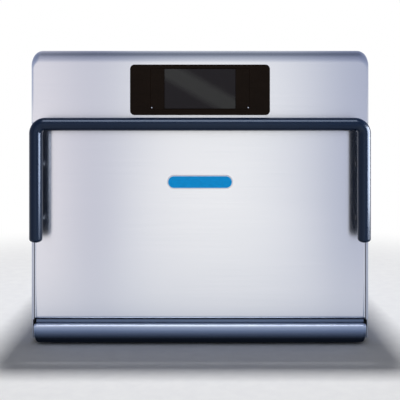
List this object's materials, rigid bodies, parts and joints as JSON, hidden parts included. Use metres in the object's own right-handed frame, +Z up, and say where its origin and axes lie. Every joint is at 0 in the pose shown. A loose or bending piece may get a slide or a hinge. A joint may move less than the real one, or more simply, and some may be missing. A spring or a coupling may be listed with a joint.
{
  "type": "speed oven",
  "caption": "Countertop speed oven: stainless casing, drop-down door with a wrap-round tube handle, touch screen, jet-plate chamber, blowers, microwave launch and pull-out filter.",
  "frame": {"origin": "on the worktop, under the middle of the overall width and of the overall depth with the handle", "axes": "+X to the viewer's right, +Y from the front to the back, +Z up; the door and the handle face -Y"},
  "size_m": [0.638, 0.711, 0.557],
  "materials": {
    "stainless": "fine horizontal brushed grain",
    "plain_steel": "mill finish sheet",
    "chamber_steel": "smooth stainless sheet",
    "handle_tube": "gloss dark navy coating",
    "black_gloss": "gloss",
    "screen_glass": "dark touch glass",
    "blue_enamel": "gloss enamel",
    "rubber": "moulded",
    "insulation": "needled fibre blanket",
    "cast_alloy": "cast and spun",
    "board": "solder mask",
    "black_plastic": "moulded",
    "iron_stack": "varnished laminations",
    "ceramic": "unglazed"
  },
  "bodies": {
    "oven_body": {"base_pan": "plain_steel", "left_side_panel": "stainless", "right_side_panel": "stainless", "top_cover": "stainless", "front_fascia": "stainless", "rear_panel": "plain_steel", "front_frame": "chamber_steel", "electronics_shelf": "plain_steel", "front_left_foot": "rubber", "front_right_foot": "rubber", "rear_left_foot": "rubber", "rear_right_foot": "rubber", "cord_gland": "black_plastic", "left_hinge_bracket": "plain_steel", "right_hinge_bracket": "plain_steel", "left_hinge_pin": "plain_steel", "right_hinge_pin": "plain_steel", "door_switch": "black_plastic", "control_bezel": "black_gloss", "touch_screen": "screen_glass", "control_board": "board", "cook_chamber": "chamber_steel", "chamber_insulation": "insulation", "left_rack_rail": "chamber_steel", "right_rack_rail": "chamber_steel", "upper_jetplate": "chamber_steel", "lower_jetplate": "chamber_steel", "heater_coil": "cast_alloy", "catalytic_converter": "ceramic", "blower_housing": "plain_steel", "upper_blower_motor": "cast_alloy", "lower_blower_motor": "cast_alloy", "left_magnetron": "plain_steel", "right_magnetron": "plain_steel", "launch_waveguide": "chamber_steel", "stirrer_motor": "cast_alloy", "left_transformer": "iron_stack", "right_transformer": "iron_stack", "left_capacitor": "cast_alloy", "right_capacitor": "cast_alloy", "cooling_fan_frame": "black_plastic"},
    "door": {"door_skin": "stainless", "door_inner_panel": "chamber_steel", "door_seal": "rubber", "door_handle": "handle_tube", "upper_left_handle_post": "handle_tube", "upper_right_handle_post": "handle_tube", "lower_left_handle_post": "handle_tube", "lower_right_handle_post": "handle_tube", "badge_plate": "blue_enamel", "left_hinge_arm": "plain_steel", "right_hinge_arm": "plain_steel"},
    "plunger": {"switch_plunger": "ceramic"},
    "filter_drawer": {"nose_trim": "stainless", "air_filter": "black_plastic"},
    "rack": {"wire_rack": "chamber_steel"},
    "upper_blower": {"upper_blower_wheel": "cast_alloy"},
    "lower_blower": {"lower_blower_wheel": "cast_alloy"},
    "stirrer": {"mode_stirrer": "cast_alloy"},
    "cooling_fan": {"cooling_fan_wheel": "black_plastic"}
  },
  "joints": [
    {"name": "door_hinge", "type": "hinge", "parent": "oven_body", "child": "door", "pos_m": [0, -0.2915, 0.066], "axis": [1, 0, 0], "range_deg": [0, 90]},
    {"name": "plunger_slide", "type": "slide", "parent": "oven_body", "child": "plunger", "axis": [0, -1, 0], "range_m": [0, 0.004]},
    {"name": "filter_slide", "type": "slide", "parent": "oven_body", "child": "filter_drawer", "axis": [0, -1, 0], "range_m": [0, 0.09]},
    {"name": "rack_slide", "type": "slide", "parent": "oven_body", "child": "rack", "axis": [0, -1, 0], "range_m": [0, 0.022]},
    {"name": "upper_blower_spin", "type": "hinge", "parent": "oven_body", "child": "upper_blower", "pos_m": [-0.11, 0.19, 0.251], "axis": [0, 1, 0], "continuous": true},
    {"name": "lower_blower_spin", "type": "hinge", "parent": "oven_body", "child": "lower_blower", "pos_m": [0.11, 0.19, 0.209], "axis": [0, 1, 0], "continuous": true},
    {"name": "stirrer_spin", "type": "hinge", "parent": "oven_body", "child": "stirrer", "pos_m": [0, -0.0417, 0.11], "axis": [0, 0, 1], "continuous": true},
    {"name": "cooling_fan_spin", "type": "hinge", "parent": "oven_body", "child": "cooling_fan", "pos_m": [0.15, 0.32, 0.4618], "axis": [0, 1, 0], "continuous": true}
  ],
  "couplings": [
    {"joint": "plunger_slide", "follows": "door_hinge", "m_per_rad": 0.002546}
  ]
}
